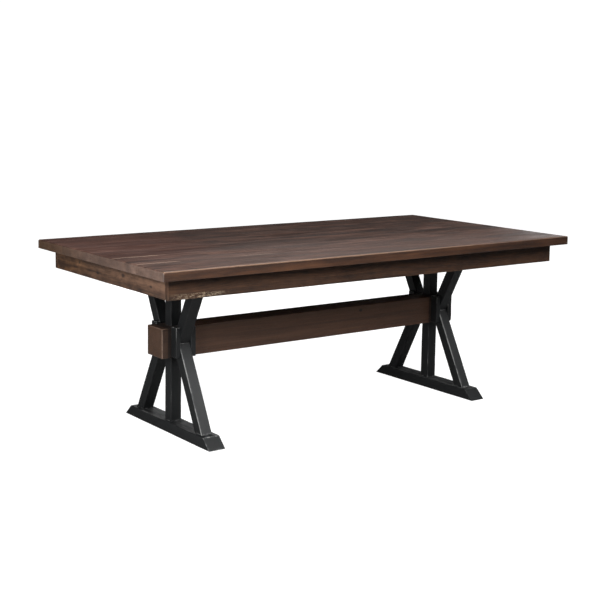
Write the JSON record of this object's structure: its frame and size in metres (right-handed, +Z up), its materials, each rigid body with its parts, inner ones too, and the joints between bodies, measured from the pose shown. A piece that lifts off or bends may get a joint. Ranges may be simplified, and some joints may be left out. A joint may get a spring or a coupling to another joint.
{
  "type": "trestle dining table",
  "caption": "Long plank-topped dining table on black splayed-brace trestles with foot beams, tied by a deep timber stretcher that runs through the trestle hubs.",
  "frame": {"origin": "on the floor, under the centre of the table's bounding box", "axes": "+X along the table's length towards its right end, +Y across the table from its front side to its back side, +Z up"},
  "size_m": [2.134, 1.08, 0.768],
  "materials": {
    "top_wood": "semi-gloss dark brown stain, worn arrises",
    "apron_wood": "satin dark brown stain",
    "stretcher_wood": "satin dark brown stain",
    "inner_wood": "matt brown stain",
    "black_paint": "satin black paint over wood, rubbed through at the edges",
    "screw_steel": "zinc plated",
    "dowel_wood": "plain",
    "glide": "matt"
  },
  "bodies": {
    "root": {"back_apron": "apron_wood", "back_apron_cleat": "inner_wood", "batten_screws": "screw_steel", "bearer_lag_screws": "screw_steel", "bearer_screws": "screw_steel", "centre_batten": "inner_wood", "cleat_screws": "screw_steel", "corner_block_back_left": "inner_wood", "corner_block_back_right": "inner_wood", "corner_block_front_left": "inner_wood", "corner_block_front_right": "inner_wood", "corner_block_screws": "screw_steel", "floor_glides": "glide", "foot_lag_screws": "screw_steel", "front_apron": "apron_wood", "front_apron_cleat": "inner_wood", "hub_dowels": "dowel_wood", "left_bearer": "inner_wood", "left_end_apron": "apron_wood", "left_end_cleat": "inner_wood", "left_foot": "black_paint", "left_hub_cheek_back_inner": "black_paint", "left_hub_cheek_back_outer": "black_paint", "left_hub_cheek_front_inner": "black_paint", "left_hub_cheek_front_outer": "black_paint", "left_lower_brace_back": "black_paint", "left_lower_brace_front": "black_paint", "left_lower_post": "black_paint", "left_upper_brace_back": "black_paint", "left_upper_brace_front": "black_paint", "left_upper_post": "black_paint", "right_bearer": "inner_wood", "right_end_apron": "apron_wood", "right_end_cleat": "inner_wood", "right_foot": "black_paint", "right_hub_cheek_back_inner": "black_paint", "right_hub_cheek_back_outer": "black_paint", "right_hub_cheek_front_inner": "black_paint", "right_hub_cheek_front_outer": "black_paint", "right_lower_brace_back": "black_paint", "right_lower_brace_front": "black_paint", "right_lower_post": "black_paint", "right_upper_brace_back": "black_paint", "right_upper_brace_front": "black_paint", "right_upper_post": "black_paint", "stretcher": "stretcher_wood", "stretcher_dowels": "dowel_wood", "top_plank_1": "top_wood", "top_plank_2": "top_wood", "top_plank_3": "top_wood", "top_plank_4": "top_wood", "top_plank_5": "top_wood", "top_plank_6": "top_wood", "top_plank_7": "top_wood", "top_plank_8": "top_wood"}
  },
  "joints": []
}
